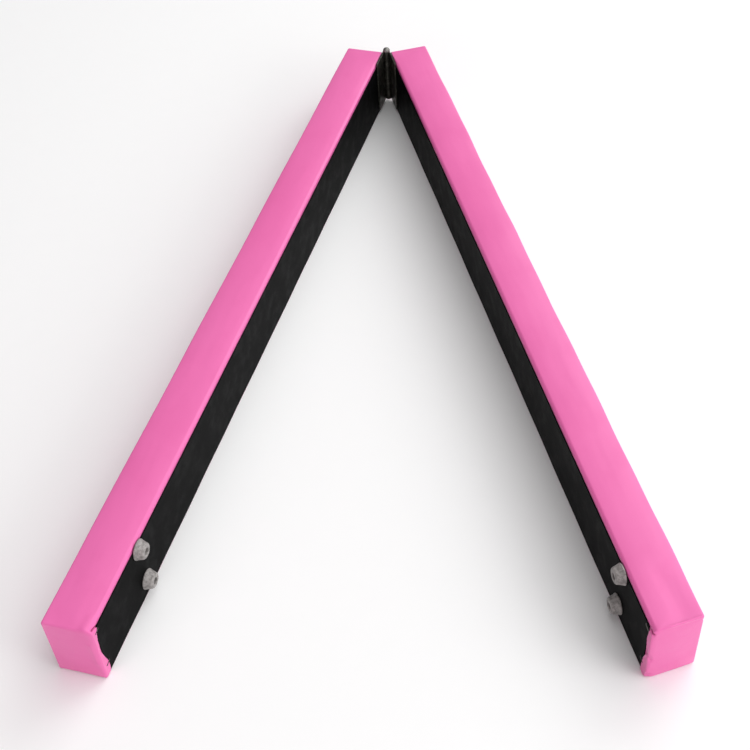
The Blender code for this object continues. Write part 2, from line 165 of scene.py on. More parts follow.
# %% [markdown]
# ## Writing shader sums
#
# A finish is a small sum: a base colour, plus a little noise, times a mask. In
# nodes that is a heap of Math boxes. A thin class around a socket lets Python's
# own operators add those boxes, so the sum reads as a sum. The reflected forms are
# there so that a plain number may come first.

# %% Sums
class Level:
    """A number in a shader, which can be used in a Python expression."""

    def __init__(self, finish, socket):
        self.finish = finish
        self.socket = socket

    def math(self, operation, *values):
        return self.finish.node("ShaderNodeMath", {"operation": operation}, dict(enumerate(values)))

    def __add__(self, other):
        return self.math("ADD", self, other)

    def __sub__(self, other):
        return self.math("SUBTRACT", self, other)

    def __rsub__(self, other):
        return self.math("SUBTRACT", other, self)

    def __mul__(self, other):
        return self.math("MULTIPLY", self, other)

    __radd__ = __add__
    __rmul__ = __mul__


print("levels can be added, subtracted and multiplied")

# %% [markdown]
# ### A material as it grows
#
# The second class holds the material. One method adds any node: it takes the node's
# type, its settings, and the values or links of its inputs. The other methods are
# short names for what the finishes below use again and again, such as noise, a
# smooth band and a bump. Colours go through Mix nodes, because a Math node would
# turn them grey.

# %% The material class
class Finish:
    """A Principled material under construction."""

    def __init__(self, name):
        self.material = bpy.data.materials.new(name)
        self.material.use_nodes = True
        self.nodes = self.material.node_tree.nodes
        self.links = self.material.node_tree.links
        self.shader = self.nodes["Principled BSDF"]

    def node(self, kind, settings=None, values=None, output=0):
        """Adds a node, makes its settings, fills its inputs and returns one output."""
        node = self.nodes.new(kind)
        for key, value in (settings or {}).items():
            setattr(node, key, value)
        self.fill(node, values or {})
        return Level(self, node.outputs[output])

    def fill(self, node, values):
        """Sets or links the inputs of a node."""
        for key, value in values.items():
            if isinstance(value, Level):
                self.links.new(value.socket, node.inputs[key])
            else:
                node.inputs[key].default_value = value

    def place(self, follows_half):
        """The place of a point, along its half or in the room."""
        if follows_half:
            return self.node("ShaderNodeAttribute", {"attribute_name": "half_place"}, output="Vector")
        return self.node("ShaderNodeTexCoord", output="Object")

    def stretch(self, place, scale, turn=(0.0, 0.0, 0.0)):
        """The place with each direction scaled, so that a pattern runs long one way."""
        return self.node("ShaderNodeMapping", {}, {"Vector": place, "Scale": scale, "Rotation": turn})

    def noise(self, place, scale, detail=2.0, roughness=0.5):
        """Soft noise, finer for a higher scale and richer for more detail."""
        values = {"Vector": place, "Scale": scale, "Detail": detail, "Roughness": roughness}
        return self.node("ShaderNodeTexNoise", {}, values)

    def cells(self, place, scale, feature="F1"):
        """Cells, such as a leather grain or foam."""
        return self.node("ShaderNodeTexVoronoi", {"feature": feature}, {"Vector": place, "Scale": scale})

    def band(self, level, low, high, bottom=0.0, top=1.0):
        """A level carried smoothly from one range to another."""
        return self.node(
            "ShaderNodeMapRange",
            {"interpolation_type": "SMOOTHSTEP"},
            {"Value": level, "From Min": low, "From Max": high, "To Min": bottom, "To Max": top},
        )

    def mix(self, share, first, second):
        """A mix of two colours by a level."""
        node = self.nodes.new("ShaderNodeMix")
        node.data_type = "RGBA"
        colours = [s for s in node.inputs if s.type == "RGBA"]
        self.fill(node, {"Factor": share})
        for socket, colour in zip(colours, (first, second)):
            if isinstance(colour, Level):
                self.links.new(colour.socket, socket)
            else:
                socket.default_value = (*colour, 1.0)
        return Level(self, next(s for s in node.outputs if s.type == "RGBA"))

    def bump(self, height, strength, distance, under=None):
        """A bump, on top of another one where given."""
        values = {"Height": height, "Strength": strength, "Distance": distance}
        if under is not None:
            values["Normal"] = under
        return self.node("ShaderNodeBump", {}, values)

    def done(self, **inputs):
        """Sets the shader's own inputs and returns the material."""
        self.fill(self.shader, {key.replace("_", " "): value for key, value in inputs.items()})
        return self.material


print("shader helper ready")

# %% [markdown]
# ## Pink vinyl
#
# The cover is satin vinyl on a knitted back. Close up it has a soft leather grain
# of cells about a millimetre wide, and over foam it never lies quite flat, which
# shows as slow waves in the highlights. The grain and the waves are bumps. The
# colour drifts a few percent, as a soft surface does where it has been handled.
# Inside a closed fold the vinyl is nearly in the dark, and that shade is painted
# into its colour: the cover carries an attribute that says how deep in such a fold
# each point lies, and the colour darkens with it as painted shade.

# %% Vinyl
def make_vinyl():
    finish = Finish("pink_satin_vinyl")
    place = finish.place(True)
    slow = finish.noise(finish.stretch(place, (1.0, 3.0, 3.0)), 3.0, detail=3.0)
    handled = finish.band(finish.noise(place, 26.0, detail=4.0), 0.45, 0.7)
    colour = finish.mix(slow, (0.81, 0.138, 0.402), (0.86, 0.176, 0.460))
    colour = finish.mix(handled * 0.18, colour, (0.77, 0.116, 0.366))
    # Painted shade: the colour darkens to a deep pink where the cover's attribute says a point lies inside a
    # closed fold
    painted_fold_shade = finish.node("ShaderNodeAttribute", {"attribute_name": "painted_fold_shade"}, output="Fac")
    colour = finish.mix(finish.band(painted_fold_shade, 0.15, 0.9, 0.0, 0.85), colour, (0.36, 0.012, 0.12))
    cells = finish.cells(place, 820.0, "DISTANCE_TO_EDGE")
    grain = finish.band(cells, 0.0, 0.22)
    pores = finish.noise(place, 2600.0, detail=1.0)
    waves = finish.noise(finish.stretch(place, (1.0, 5.0, 5.0)), 7.0, detail=2.0)
    under = finish.bump(waves, 0.5, 0.0016)
    fine = finish.bump(grain + pores * 0.4, 0.16, 0.00012, under)
    rough = 0.36 + slow * 0.05 + handled * 0.06 - grain * 0.03
    sheen = {"Specular_IOR_Level": 0.36, "Coat_Weight": 0.08, "Coat_Roughness": 0.3}
    return finish.done(Base_Color=colour, Roughness=rough, Normal=fine, **sheen)


vinyl = make_vinyl()
print("finish", vinyl.name)

# %% [markdown]
# ## Black non-slip sheet
#
# The underside is a coated cloth. Its weave is pressed through the coating as a
# fine grid, a little less than a millimetre apart, with a faint grey bloom on the
# raised threads. Two crossed waves along s and z make that grid.

# %% Underside cloth
def make_underside():
    finish = Finish("black_coated_cloth")
    place = finish.place(True)
    threads = {"Vector": place, "Scale": 1400.0 / math.tau, "Distortion": 0.6}
    across = finish.node("ShaderNodeTexWave", {"bands_direction": "X"}, threads, 1)
    along = finish.node("ShaderNodeTexWave", {"bands_direction": "Z"}, threads, 1)
    weave = across * along
    bloom = finish.band(finish.noise(place, 45.0, detail=5.0, roughness=0.6), 0.4, 0.75)
    colour = finish.mix(weave * 0.4 + bloom * 0.35, (0.0018, 0.0018, 0.002), (0.0060, 0.0060, 0.0064))
    slow = finish.noise(finish.stretch(place, (1.0, 4.0, 4.0)), 9.0, detail=2.0)
    under = finish.bump(slow, 0.4, 0.0008)
    fine = finish.bump(weave, 0.35, 0.00015, under)
    rough = 0.62 - bloom * 0.1 + weave * 0.05
    return finish.done(Base_Color=colour, Roughness=rough, Normal=fine, Specular_IOR_Level=0.05)


underside_cloth = make_underside()
print("finish", underside_cloth.name)

# %% [markdown]
# ## Rubber and metals
#
# The feet are milky grey rubber, cloudy from the mould and dusty in patches.
# The hinge is blackened steel that has rubbed bright in patches. The foot
# screws and washers are zinc plated, and the staples have gone dull. All the metals
# differ only in colour, wear and roughness, so one function makes them all.

# %% Rubber and metals
def make_rubber():
    finish = Finish("milky_rubber")
    place = finish.place(False)
    cloud = finish.noise(place, 210.0, detail=4.0, roughness=0.6)
    dust = finish.band(finish.noise(place, 900.0, detail=3.0), 0.5, 0.72)
    colour = finish.mix(finish.band(cloud, 0.3, 0.7), (0.16, 0.147, 0.142), (0.36, 0.335, 0.325))
    colour = finish.mix(dust * 0.35, colour, (0.46, 0.44, 0.425))
    skin = finish.bump(cloud + dust * 0.3, 0.25, 0.0003)
    return finish.done(Base_Color=colour, Roughness=0.42 + dust * 0.2, Normal=skin)


def make_steel(name, dark, bright, rubbed, rough, metallic=0.95):
    """Plated or blackened steel, with rubbed patches and fine drawn lines along the pin."""
    finish = Finish(name)
    place = finish.place(False)
    patches = finish.band(finish.noise(place, 160.0, detail=5.0, roughness=0.65), 0.5, 0.72)
    lines = finish.noise(finish.stretch(place, (1.0, 1.0, 0.06)), 2400.0, detail=2.0)
    colour = finish.mix(patches * rubbed, dark, bright)
    drawn = finish.bump(lines + patches * 0.5, 0.12, 0.0001)
    levels = rough + lines * 0.1 - patches * (0.12 * rubbed)
    return finish.done(Base_Color=colour, Roughness=levels, Metallic=metallic, Normal=drawn)


rubber = make_rubber()
hinge_steel = make_steel("blackened_steel", (0.052, 0.050, 0.042), (0.26, 0.25, 0.22), 0.6, 0.31, 0.75)
pin_steel = make_steel("bright_steel", (0.22, 0.212, 0.2), (0.42, 0.41, 0.39), 0.8, 0.42)
dull_zinc = make_steel("dull_zinc", (0.12, 0.115, 0.105), (0.26, 0.25, 0.235), 0.6, 0.45)
zinc = make_steel("zinc_plate", (0.33, 0.32, 0.3), (0.55, 0.54, 0.5), 0.8, 0.34)
print("finishes", rubber.name, hinge_steel.name, pin_steel.name, dull_zinc.name, zinc.name)

# %% [markdown]
# ## Wood and foam
#
# The wood and the foam are out of sight, but someone who lifts the cover off should
# still find grain and cells. Rings stretched along the board make the grain. A cell
# pattern makes the foam.

# %% Wood and foam
def make_pine():
    finish = Finish("sawn_pine")
    place = finish.stretch(finish.place(False), (14.0, 1.2, 30.0))
    growth = {"Vector": place, "Scale": 2.0, "Distortion": 3.0}
    rings = finish.node("ShaderNodeTexWave", {"wave_type": "RINGS"}, growth, 1)
    fibres = finish.noise(place, 9.0, detail=6.0)
    colour = finish.mix(rings * 0.6 + fibres * 0.3, (0.62, 0.42, 0.23), (0.38, 0.22, 0.1))
    raised = finish.bump(fibres, 0.4, 0.0004)
    return finish.done(Base_Color=colour, Roughness=0.6 + fibres * 0.15, Normal=raised)


def make_foam():
    finish = Finish("pale_foam")
    place = finish.place(False)
    cells = finish.cells(place, 700.0)
    colour = finish.mix(cells, (0.6, 0.56, 0.44), (0.8, 0.77, 0.66))
    raised = finish.bump(cells, 0.6, 0.0006)
    return finish.done(Base_Color=colour, Roughness=0.85 + cells * 0.1, Normal=raised)


pine = make_pine()
foam = make_foam()
print("finishes", pine.name, foam.name)

# %% [markdown]
# ## The cover
#
# The cover is one skin of vinyl, pulled tight over foam. Its sides are crowned,
# its edges are soft, and at the far end it is folded over the underside and
# stapled, which leaves a wavy hem.
#
# It starts as a box whose surface is cut at chosen stations, close together where
# the shape turns and far apart along the straight. A plain box with a Bevel would
# give round edges too, but not points where the folds and the hem need them.

# %% Stations
TURN = np.array((0.0, 0.07, 0.15, 0.23, 0.32, 0.41, 0.51, 0.62, 0.74, 0.87))


def fine_edges(low, high, radius, step):
    """Stations from low to high, crowded into the rounding at both ends."""
    turn = radius * TURN
    count = int(round((high - low - 2 * radius) / step))
    middle = np.linspace(low + radius, high - radius, count + 1)
    return np.concatenate((low + turn, middle, (high - turn)[::-1]))


def up_stations(low, high, radius):
    """Stations over the height: fine at the edges, and finer again in the slack upper part."""
    turn = radius * TURN
    slack_from = high - 0.03
    lower = np.linspace(low + radius, slack_from, 32)
    upper = np.linspace(slack_from, high - radius, 14)
    return np.concatenate((low + turn, lower, upper[1:], (high - turn)[::-1]))


def along_stations(low, high, radius, hem):
    """Stations along a half: fine at the ends, finest where the hem lies."""
    turn = radius * TURN
    leaf_end, flap_end = low + 0.05, high - 0.06
    near = np.linspace(low + radius, leaf_end, 12)
    straight = np.linspace(leaf_end, flap_end, 88)
    far = np.linspace(flap_end, high - hem, 14)
    folded = np.linspace(high - hem, high - radius, 16)
    return np.concatenate((low + turn, near, straight[1:], far[1:], folded[1:], (high - turn)[::-1]))


print(len(TURN), "stations in each rounding")

# %% [markdown]
# ### From stations to a surface
#
# Three lists of stations give a grid on each of the six sides of a box. A point on
# an edge or a corner belongs to more than one side, so each point is made once and
# looked up after that, which leaves the surface closed.

# %% A box of stations
def boxed_surface(s, n, z):
    """The points and faces of a closed box surface with a point at each pair of stations."""
    index = {}
    points = []
    last = (len(s) - 1, len(n) - 1, len(z) - 1)

    def point(*key):
        if key not in index:
            index[key] = len(points)
            points.append((s[key[0]], n[key[1]], z[key[2]]))
        return index[key]

    faces = []
    for fixed, first, second in ((0, 1, 2), (1, 0, 2), (2, 0, 1)):
        for end in (0, last[fixed]):
            for a in range(last[first]):
                for b in range(last[second]):
                    square = ((a, b), (a + 1, b), (a + 1, b + 1), (a, b + 1))
                    keys = []
                    for u, v in square:
                        key = [0, 0, 0]
                        key[fixed], key[first], key[second] = end, u, v
                        keys.append(point(*key))
                    faces.append(keys)
    return np.array(points), faces


box_example = boxed_surface(*[np.array((0.0, 0.5, 1.0))] * 3)
print("a box with three stations each way has", len(box_example[0]), "points")

# %% [markdown]
# ### Tight and slack edges
#
# Rounding the box is one line of arithmetic: pull every point in to a smaller box,
# then push it out again by the radius. The cover is tight over most edges, and
# slack where it turns under along the upper long edge, so the radius grows there.
# The beam's weight presses the lower edge flat, and the hinge leaf holds the near
# end tight.

# %% The unswollen skin
def step_up(x):
    """A smooth step from 0 to 1 for x from 0 to 1."""
    x = np.clip(x, 0.0, 1.0)
    return x * x * (3 - 2 * x)


def rounded(points, low, high, radius):
    """Box points moved on to a box with rounded edges; the radius may differ by point and direction."""
    core = np.clip(points, low + radius, high - radius)
    away = (points - core) / radius
    return core + radius * away / np.linalg.norm(away, axis=1, keepdims=True)


TIGHT_EDGE = 0.0030
SLACK_EDGE = 0.0095
HEM_REACH = 0.020
FLAP_PROUD = 0.0012
SLACK = 0.0003

skin_low = cover_low + np.array((0.0, -FLAP_PROUD, 0.0))
skin_high = cover_high.copy()
skin_stations = (
    along_stations(skin_low[0], skin_high[0], TIGHT_EDGE * 2, HEM_REACH),
    fine_edges(skin_low[1], skin_high[1], SLACK_EDGE, 0.0027),
    up_stations(skin_low[2], skin_high[2], SLACK_EDGE),
)
skin_points, skin_faces = boxed_surface(*skin_stations)
print("cover surface:", len(skin_points), "points")

# %% [markdown]
# ### Letting the padding swell
#
# Foam pushes vinyl out in the middle of each side and the edges hold it back. A
# short cloth simulation with a little air pressure finds that shape by itself. The
# skin starts slightly too small. Its underside and its edges are pinned, and no
# point may move further than a few millimetres.

# %% Swelling
SWELL_CAP = 0.0032
SWELL_FRAMES = 20


def pressed_out(points, faces, pinned):
    """Points after a cloth skin has been blown up from the inside, each moved at most by the cap."""
    mesh = bpy.data.meshes.new("swelling")
    mesh.from_pydata([tuple(p) for p in points], [], faces)
    bm = bmesh.new()
    bm.from_mesh(mesh)
    bmesh.ops.recalc_face_normals(bm, faces=bm.faces)
    bm.to_mesh(mesh)
    bm.free()
    skin = placed("swelling", mesh)
    skin.vertex_groups.new(name="held").add([int(i) for i in np.flatnonzero(pinned)], 1.0, "REPLACE")
    cloth = skin.modifiers.new("cloth", "CLOTH")
    cloth.collision_settings.use_collision = False
    settings = cloth.settings
    settings.quality = 4
    settings.mass = 0.3
    settings.tension_stiffness = 15.0
    settings.compression_stiffness = 15.0
    settings.shear_stiffness = 7.5
    settings.bending_stiffness = 0.5
    settings.use_pressure = True
    settings.uniform_pressure_force = 9.0
    settings.vertex_group_mass = "held"
    settings.effector_weights.gravity = 0.0
    for number in range(1, SWELL_FRAMES + 1):
        bpy.context.scene.frame_set(number)
    seen = skin.evaluated_get(bpy.context.evaluated_depsgraph_get())
    after = np.array([v.co for v in seen.data.vertices])
    bpy.context.scene.frame_set(1)
    bpy.data.objects.remove(skin)
    move = after - points
    size = np.linalg.norm(move, axis=1, keepdims=True)
    return points + move / np.sqrt(1 + (size / SWELL_CAP) ** 2)


print("no point swells by more than", 1000 * SWELL_CAP, "mm")

# %% [markdown]
# ### The skin at full size
#
# The skin starts a little small, with its edges rounded: tight everywhere, and
# slack only where it turns under along the upper long edge, away from the hinge
# leaf. Points on the underside or near an edge are held, and the rest are pressed
# out.

# %% The swollen skin
def swollen_skin():
    """The rounded skin, a little small at first and then swollen to full size."""
    low = skin_low + np.array((SLACK / 2, 0.0, SLACK))
    high = skin_high - np.array((SLACK / 2, SLACK, SLACK))
    span = (skin_points - skin_low) / (skin_high - skin_low)
    box = low + span * (high - low)
    slack = 1 - step_up((box[:, 1] - low[1]) / 0.03)
    slack *= step_up((box[:, 2] - low[2]) / 0.06) * step_up((box[:, 0] - low[0]) / 0.05)
    radius = np.full(box.shape, TIGHT_EDGE)
    radius[:, 1:] += (SLACK_EDGE - TIGHT_EDGE) * slack[:, None]
    start = rounded(box, low, high, radius)
    # A point near two sides at once lies near an edge
    beside = (start - low < 0.8 * radius).astype(int) + (high - start < 0.8 * radius)
    held = (start[:, 1] < low[1] + 0.001) | (beside.sum(axis=1) > 1)
    return pressed_out(start, skin_faces, held)


swollen = swollen_skin()
print("swollen skin spans", np.round(1000 * np.ptp(swollen, axis=0), 1), "mm")

# %% [markdown]
# ### Hem and tucks
#
# What makes a cover look sewn and stapled is at its edges. The hem of the far-end
# flap is a curve over the width, given by a few knots for each half. On one side
# of it the skin lies over the black sheet and on the other it goes under. A tuck is
# a groove along a short line, and a ridge is the same thing turned out. Sculpting
# would do it too, but a line of places and a width can be read and changed.

# %% Hem and tucks
HEMS = {
    "left": ((0.0, 0.0105), (0.006, 0.0125), (0.02, 0.0135), (0.034, 0.0095), (0.05, 0.0065),
             (0.072, 0.0075), (0.086, 0.0105), (0.094, 0.0150), (0.1, 0.0165)),
    "right": ((0.0, 0.0100), (0.012, 0.0105), (0.03, 0.0080), (0.042, 0.0045), (0.047, 0.0004),
              (0.053, 0.0050), (0.072, 0.0075), (0.088, 0.0060), (0.096, 0.0015), (0.1, 0.0015)),
}
HEM_STEP = 0.0014  # how far the cloth takes to step up at the hem, and the hem's own smoothing


def hem_line(half, z):
    """Where the flap's hem lies along s, for heights z, smoothed over a few millimetres."""
    knots = np.array(HEMS[half])
    spread = np.linspace(-HEM_STEP, HEM_STEP, 7)
    reach = np.mean([np.interp(z + shift, knots[:, 0], knots[:, 1]) for shift in spread], axis=0)
    return cover_high[0] - reach


def normals_of(points, faces):
    """The outward normal at each point of a closed surface."""
    squares = points[np.array(faces)]
    across = np.cross(squares[:, 2] - squares[:, 0], squares[:, 3] - squares[:, 1])
    middles = squares.mean(axis=1)
    inside = np.clip(middles, cover_low + 0.02, cover_high - 0.02)
    facing = np.sign(np.einsum("ij,ij->i", across, middles - inside))
    across *= np.where(facing == 0, 1, facing)[:, None]
    normals = np.zeros_like(points)
    for corner in range(4):
        np.add.at(normals, np.array(faces)[:, corner], across)
    return normals / np.maximum(np.linalg.norm(normals, axis=1, keepdims=True), 1e-12)


def far_from(points, line):
    """Each point's distance from a line of (s, n, z) knots, and how far along it the nearest place is."""
    knots = np.array(line)
    best = np.full(len(points), np.inf)
    share = np.zeros(len(points))
    for number, (a, b) in enumerate(zip(knots[:-1], knots[1:])):
        run = b - a
        t = np.clip((points - a) @ run / (run @ run), 0, 1)
        gap = np.linalg.norm(points - (a + t[:, None] * run), axis=1)
        closer = gap < best
        best = np.where(closer, gap, best)
        share = np.where(closer, (number + t) / (len(knots) - 1), share)
    return best, share


def tuck_strength(points, line, width, fade=0.3):
    """How strongly a tuck along a line is felt at each point, from 0 to 1, fading at its far tip."""
    gap, share = far_from(points, line)
    return np.exp(-((gap / width) ** 2)) * step_up((1 - share) / fade)


print("hem reaches", {half: round(1000 * max(k[1] for k in HEMS[half]), 1) for half in HEMS}, "mm")

# %% [markdown]
# ### Where the folds lie
#
# No two covers are folded alike. On the left half the side folds over the flap and
# leaves a narrow slit beside the hem. On the right half a seam shows as a thin
# ridge, a pleat runs in from the hem, and the lower corner is blunt. Every place is
# given in millimetres from the far end, the underside and the upper side, because
# that is how it would be measured on the beam.

# %% Folds and ridges
FAR_END = cover_high[0]
TOP_SIDE = cover_high[2]
UNDER = cover_low[1]

# How far the folded cloth makes each far end stand out, on top and underneath
END_PROUD = {"left": (0.0026, 0.0012), "right": (-0.0004, 0.0052)}

# A tuck that is narrower than this, and deeper, is a closed fold, and its inside gets painted shade
NARROW_TUCK = 0.0018


def at(back, out, down):
    """The (s, n, z) of a place, in mm back from the far end, out of the underside and down."""
    return FAR_END - back / 1000, UNDER + out / 1000, TOP_SIDE - down / 1000


# Each tuck is (line of places, depth in mm, width in mm), and a ridge has a depth below zero
TUCKS = {
    "left": (
        ((at(16.5, -0.9, 7.0), at(10.0, 0.1, 4.7), at(3.5, 1.2, 3.6)), 2.6, 1.6),
        ((at(4, 9, 1), at(28, 8, 0)), -0.8, 4.5),
        ((at(0, 6, 30), at(0, 4, 80)), -0.8, 4.0),
        ((at(10, 28, 0), at(140, 34, 0)), -0.7, 14.0),
    ),
    "right": (
        ((at(1, 60, 1), at(1.5, 28.3, 1), at(2, 6, 2)), -1.1, 1.6),
        ((at(1, 62, 10), at(4, 59, 3)), 1.6, 1.2),
        ((at(12, -1, 52), at(3, 0, 54), at(0, 4, 66)), 2.1, 2.4),
        ((at(8, -0.8, 6.2), at(1.5, 0.6, 7.8), at(0.5, 1.8, 10.5)), 2.6, 1.7),
        ((at(0, 0, 100), at(0, 0, 86)), 2.4, 4.5),
        ((at(9, -1, 96), at(9, -1, 78)), -1.8, 5.0),
        ((at(14, 41, 0), at(80, 34, 0)), 1.4, 12.0),
    ),
}
print({half: len(TUCKS[half]) for half in TUCKS}, "tucks and ridges")

# %% [markdown]
# ### Dressing the cover
#
# The swollen skin is copied for each half. It gets slow waves, then its tucks, and
# its far end moves out a little where folded cloth fills it. Next the flap is laid
# over the sheet up to its hem, and nothing may sink through the floor. How deep in
# a closed fold each point lies is kept as painted shade for the vinyl's colour.

# %% Dressing the cover
def slow_waves(points, seed):
    """Gentle dips and swells along the foam, a fraction of a millimetre high."""
    phase = np.random.default_rng(seed).uniform(0, math.tau, 6)
    s, n, z = points.T
    swell = np.sin(21 * s + phase[0] + 18 * z) * np.sin(38 * n + phase[1])
    swell = swell + 0.6 * np.sin(53 * s + phase[2] + 25 * n) * np.sin(31 * z + phase[3])
    return 0.00055 * swell


def stretched_end(points, half):
    """The far end moved out, more on one side than the other, fading towards the middle."""
    on_top, underneath = END_PROUD[half]
    depth_share = np.clip((points[:, 1] - skin_low[1]) / (skin_high[1] - skin_low[1]), 0, 1)
    reach = underneath + (on_top - underneath) * depth_share
    points = points.copy()
    points[:, 0] += reach * step_up((points[:, 0] - FAR_END + 0.10) / 0.09)
    return points


def dressed_cover(half, seed):
    """The swollen skin with its waves, tucks and hem, and the painted shade for each point deep in a closed
    fold.
    """
    points = swollen.copy()
    painted_fold_shade = np.zeros(len(points))
    normals = normals_of(points, skin_faces)
    points = points + normals * slow_waves(points, seed)[:, None]
    for line, depth, width in TUCKS[half]:
        depth, width = depth / 1000, width / 1000
        strength = tuck_strength(points, line, width)
        points = points - normals * (depth * strength)[:, None]
        # Narrow, deep tucks are closed folds, and their strength is kept as painted shade for the vinyl's
        # colour
        if depth > NARROW_TUCK > width:
            painted_fold_shade = np.maximum(painted_fold_shade, strength)
    points = stretched_end(points, half)
    below = (hem_line(half, points[:, 2]) - points[:, 0]) / HEM_STEP
    level = skin_low[1] + (sheet_high[1] - skin_low[1]) * step_up(below + 0.5)
    points[:, 1] = np.maximum(points[:, 1], level)
    points[:, 2] = np.maximum(points[:, 2], cover_low[2] + 0.0001)
    return points, painted_fold_shade


for seed, half in enumerate(HALVES, start=11):
    points, painted_fold_shade = dressed_cover(half, seed)
    mesh = mesh_in_room(f"{half}_vinyl_cover", half, points, skin_faces, crease=75.0)
    # The painted shade inside closed folds goes on the mesh for the vinyl to read
    mesh.attributes.new("painted_fold_shade", "FLOAT", "POINT").data.foreach_set("value", painted_fold_shade.astype(np.float32))
    cover = finish_piece(f"{half}_vinyl_cover", mesh, half, vinyl, [f"{half}_cover"])

# %% [markdown]
# ## The underside sheet
#
# The black sheet is stretched flat over the core and turned under along its edges,
# so it is a thin slab with rolled edges. It stops short of the slack upper edge,
# where the vinyl comes round. It is close to flat, with slow dips a
# fraction of a millimetre deep, and its far edge runs in under the hem.

# %% Underside sheet
SHEET_UNDER_HEM = 0.005
SHEET_EDGE = (-0.0005, 0.0062)  # how far its lower and upper edges lie inside the bare sheet's


def underside_sheet(half, seed):
    """A thin rolled-edge slab over the underside of a half."""
    low, high = extent(f"{half}_base_sheet")
    low = low + np.array((0.0, 0.0, SHEET_EDGE[0]))
    high = high + np.array((SHEET_UNDER_HEM, 0.0, -SHEET_EDGE[1]))
    roll = (high[1] - low[1]) / 2 * 0.98
    turn = roll * np.array((0.0, 0.2, 0.5, 0.8))
    s_middle = np.linspace(low[0] + roll, high[0] - roll, 150)
    z_middle = np.linspace(low[2] + roll, high[2] - roll, 26)
    s = np.concatenate((low[0] + turn, s_middle, (high[0] - turn)[::-1]))
    n = np.concatenate((low[1] + turn, [(low[1] + high[1]) / 2], (high[1] - turn)[::-1]))
    z = np.concatenate((low[2] + turn, z_middle, (high[2] - turn)[::-1]))
    raw, faces = boxed_surface(s, n, z)
    points = rounded(raw, low, high, roll)
    phase = np.random.default_rng(seed).uniform(0, math.tau, 3)
    dips = np.sin(16 * points[:, 0] + phase[0]) * np.sin(60 * points[:, 2] + phase[1])
    points[:, 1] += 0.00012 * dips + 0.00015 * np.sin(47 * points[:, 0] + phase[2])
    return points, faces, high - low


for seed, half in enumerate(HALVES, start=21):
    points, faces, size = underside_sheet(half, seed)
    mesh = mesh_in_room(f"{half}_underside", half, points, faces)
    sheet = finish_piece(f"{half}_underside", mesh, half, underside_cloth, [f"{half}_base_sheet"])

# %% [markdown]
# ## Turned shapes
#
# Feet, screws and washers are turned: a profile goes round an axis. A spin makes
# one template of each. A Screw modifier could do the same, but the spin gives a
# plain mesh at once.

# %% Turning
def turned_mesh(name, profile, steps, closed=False):
    """A mesh turned from (radius, height) points about Z."""
    bm = bmesh.new()
    corners = [bm.verts.new((radius, 0.0, height)) for radius, height in profile]
    edges = [bm.edges.new(pair) for pair in zip(corners, corners[1:])]
    if closed:
        edges.append(bm.edges.new((corners[-1], corners[0])))
    bmesh.ops.spin(
        bm, geom=corners + edges, cent=(0, 0, 0), axis=(0, 0, 1), angle=math.tau, steps=steps, use_merge=True
    )
    bmesh.ops.remove_doubles(bm, verts=bm.verts, dist=1e-6)
    return outward_mesh(bm, name)


def outward_mesh(bm, name):
    """A smooth mesh from a bmesh, facing outwards."""
    bmesh.ops.recalc_face_normals(bm, faces=bm.faces)
    mesh = bpy.data.meshes.new(name)
    bm.to_mesh(mesh)
    bm.free()
    return smoothed(mesh)


def arc(middle, radius, start, end, steps=5):
    """Points of an arc as (radius, height), for angles in degrees."""
    turns = np.radians(np.linspace(start, end, steps))
    return [(middle[0] + radius * math.cos(t), middle[1] + radius * math.sin(t)) for t in turns]


print("a quarter arc:", np.round(arc((0, 0), 1, 0, 90, 3), 2).tolist())

# %% [markdown]
# ## The copying tree
#
# Screws, washers, feet and staples come in sets that are all alike. A small
# Geometry Nodes tree puts a template on every point of a mesh, facing the way each
# point says, with a seeded random turn so that no two screw slots line up. It ends
# by making the copies real and giving them their finish.

# %% The copying tree
def copying_tree():
    """A Geometry Nodes tree that sets out copies of a template on points."""
    tree = bpy.data.node_groups.new("set out copies", "GeometryNodeTree")
    ports = {"Points": "Geometry", "Template": "Object", "Random turn": "Float"}
    ports |= {"Seed": "Int", "Finish": "Material"}
    for name, kind in ports.items():
        tree.interface.new_socket(name, in_out="INPUT", socket_type=f"NodeSocket{kind}")
    tree.interface.new_socket("Copies", in_out="OUTPUT", socket_type="NodeSocketGeometry")

    def node(kind, settings=None, **values):
        made = tree.nodes.new(kind)
        for key, value in (settings or {}).items():
            setattr(made, key, value)
        for key, value in values.items():
            socket = made.inputs[key.replace("_", " ")]
            if isinstance(value, bpy.types.NodeSocket):
                tree.links.new(value, socket)
            else:
                socket.default_value = value
        return made

    given = node("NodeGroupInput").outputs
    facing = node("GeometryNodeInputNamedAttribute", {"data_type": "FLOAT_VECTOR"}, Name="facing")
    aim = node("FunctionNodeAlignRotationToVector", {"axis": "Z"}, Vector=facing.outputs["Attribute"])
    chance = node("FunctionNodeRandomValue", {"data_type": "FLOAT"}, Seed=given["Seed"])
    amount = node("ShaderNodeMath", {"operation": "MULTIPLY"})
    tree.links.new(chance.outputs[1], amount.inputs[0])
    tree.links.new(given["Random turn"], amount.inputs[1])
    twist = node("FunctionNodeAxisAngleToRotation", Angle=amount.outputs[0])
    both = node("FunctionNodeRotateRotation", {"rotation_space": "LOCAL"}, Rotation=aim.outputs[0],
                Rotate_By=twist.outputs[0])
    template = node("GeometryNodeObjectInfo", Object=given["Template"])
    copies = node("GeometryNodeInstanceOnPoints", Points=given["Points"], Rotation=both.outputs[0])
    tree.links.new(template.outputs["Geometry"], copies.inputs["Instance"])
    real = node("GeometryNodeRealizeInstances", Geometry=copies.outputs[0])
    painted = node("GeometryNodeSetMaterial", Geometry=real.outputs[0], Material=given["Finish"])
    result = node("NodeGroupOutput")
    tree.links.new(painted.outputs[0], result.inputs["Copies"])
    return tree


COPIES = copying_tree()
print("tree", COPIES.name, "with", len(COPIES.nodes), "nodes")

